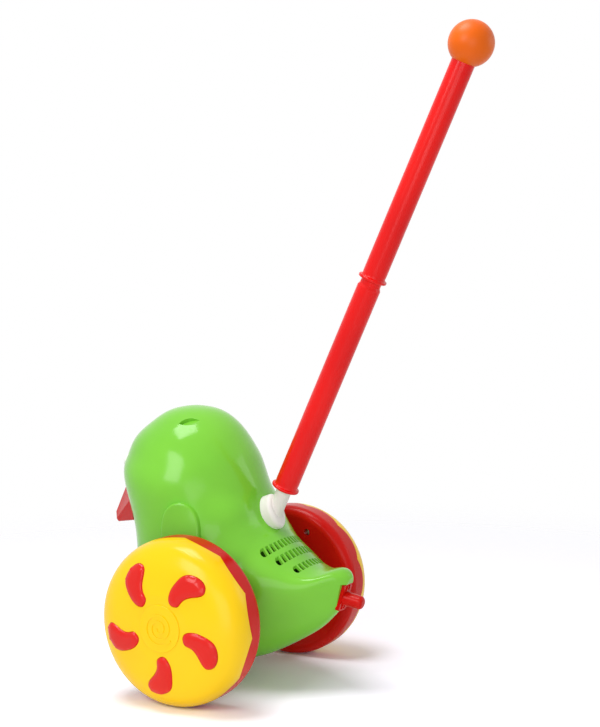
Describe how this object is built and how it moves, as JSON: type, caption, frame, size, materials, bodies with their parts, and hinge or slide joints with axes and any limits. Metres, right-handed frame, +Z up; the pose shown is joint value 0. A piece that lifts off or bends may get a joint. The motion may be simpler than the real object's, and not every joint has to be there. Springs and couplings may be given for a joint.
{
  "type": "toddler push toy",
  "caption": "Push-along bird toy on two large domed flower wheels, with a raked two-piece handle tube and a ball grip.",
  "frame": {"origin": "on the floor, under the middle of the whole toy's bounding box", "axes": "+X is where the bird looks, +Y is its left, +Z is up"},
  "size_m": [0.3974, 0.2762, 0.5943],
  "materials": {
    "body_green": "glossy moulded",
    "screw_steel": "plain zinc plated",
    "beak_red": "glossy moulded",
    "eye_black": "glossy moulded",
    "socket_white": "glossy moulded",
    "tube_red": "glossy moulded",
    "ball_orange": "satin moulded",
    "tail_red": "glossy moulded",
    "weight_steel": "plain",
    "roller_black": "satin moulded",
    "pin_steel": "plain",
    "axle_steel": "plain",
    "nut_steel": "plain",
    "bush_white": "satin moulded",
    "star_white": "satin moulded",
    "reed_white": "satin moulded",
    "wheel_red": "glossy moulded",
    "cap_yellow": "glossy moulded",
    "petal_red": "glossy moulded"
  },
  "bodies": {
    "bird": {"body_left": "body_green", "body_right": "body_green", "body_screws": "screw_steel", "beak": "beak_red", "eyes": "eye_black", "handle_socket": "socket_white", "lower_tube": "tube_red", "upper_tube": "tube_red", "handle_ball": "ball_orange", "tail_hitch": "tail_red", "nose_weight": "weight_steel", "roller_pin": "pin_steel", "axle_bush_left": "bush_white", "axle_bush_right": "bush_white", "click_reed": "reed_white", "reed_screw": "screw_steel"},
    "roller": {"front_roller": "roller_black"},
    "wheel_set": {"axle": "axle_steel", "push_nuts": "nut_steel", "click_star": "star_white", "wheel_inner_left": "wheel_red", "wheel_cap_left": "cap_yellow", "petal_insert_left": "petal_red", "wheel_screws_left": "screw_steel", "wheel_inner_right": "wheel_red", "wheel_cap_right": "cap_yellow", "petal_insert_right": "petal_red", "wheel_screws_right": "screw_steel"}
  },
  "joints": [
    {"name": "wheel_spin", "type": "hinge", "parent": "bird", "child": "wheel_set", "pos_m": [0.05414, 0, 0.075], "axis": [0, 1, 0], "continuous": true},
    {"name": "roller_spin", "type": "hinge", "parent": "bird", "child": "roller", "pos_m": [0.11614, 0, 0.016], "axis": [0, 1, 0], "continuous": true}
  ]
}
